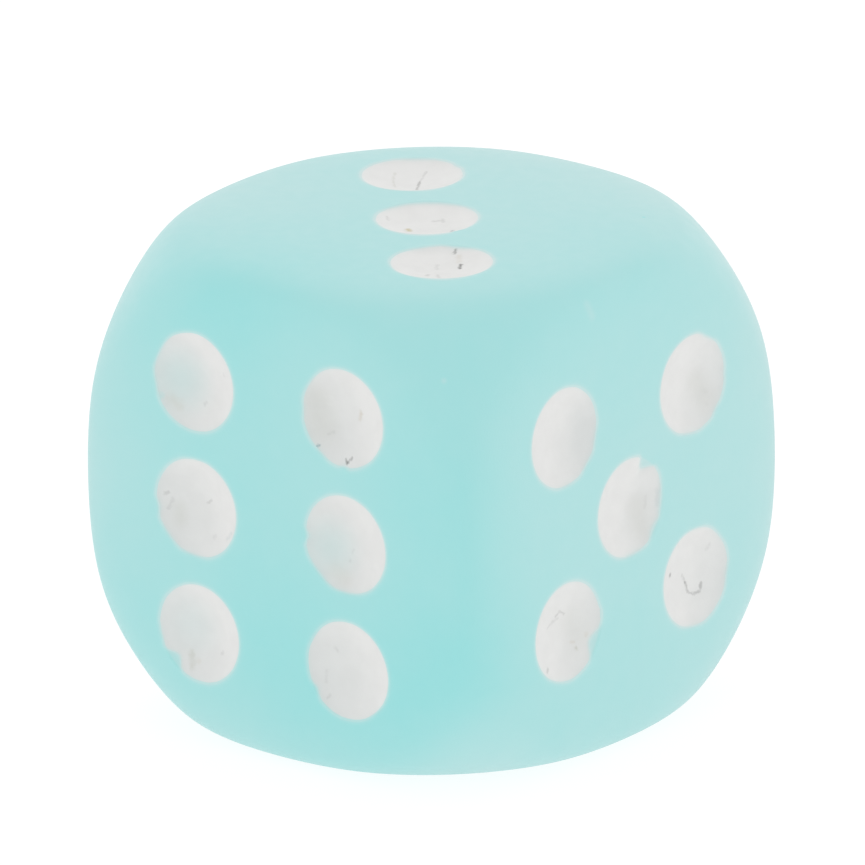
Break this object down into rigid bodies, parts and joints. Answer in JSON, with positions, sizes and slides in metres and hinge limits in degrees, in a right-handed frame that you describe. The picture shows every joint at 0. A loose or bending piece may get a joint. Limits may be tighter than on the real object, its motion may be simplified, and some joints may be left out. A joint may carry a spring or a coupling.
{
  "type": "six-sided gaming die",
  "caption": "Frosted translucent cube with ball-rounded corners, ground flat faces and dished, white-painted counting pips on every face.",
  "frame": {"origin": "centre of the cube", "axes": "+Z out of the face with three pips, +X out of the face with five, -Y out of the face with six; four is below, two is on -X and one on +Y"},
  "size_m": [0.016, 0.016, 0.016],
  "materials": {
    "frosted_resin": "translucent aqua resin, tumbled to an even satin frost",
    "pip_paint": "white dice paint, satin, slightly uneven at the rims"
  },
  "bodies": {
    "root": {"die_body": "frosted_resin", "pip_five_centre": "pip_paint", "pip_five_high_left": "pip_paint", "pip_five_high_right": "pip_paint", "pip_five_low_left": "pip_paint", "pip_five_low_right": "pip_paint", "pip_four_high_left": "pip_paint", "pip_four_high_right": "pip_paint", "pip_four_low_left": "pip_paint", "pip_four_low_right": "pip_paint", "pip_one_centre": "pip_paint", "pip_six_high_left": "pip_paint", "pip_six_high_right": "pip_paint", "pip_six_low_left": "pip_paint", "pip_six_low_right": "pip_paint", "pip_six_mid_left": "pip_paint", "pip_six_mid_right": "pip_paint", "pip_three_centre": "pip_paint", "pip_three_high_left": "pip_paint", "pip_three_low_right": "pip_paint", "pip_two_high_left": "pip_paint", "pip_two_low_right": "pip_paint"}
  },
  "joints": []
}
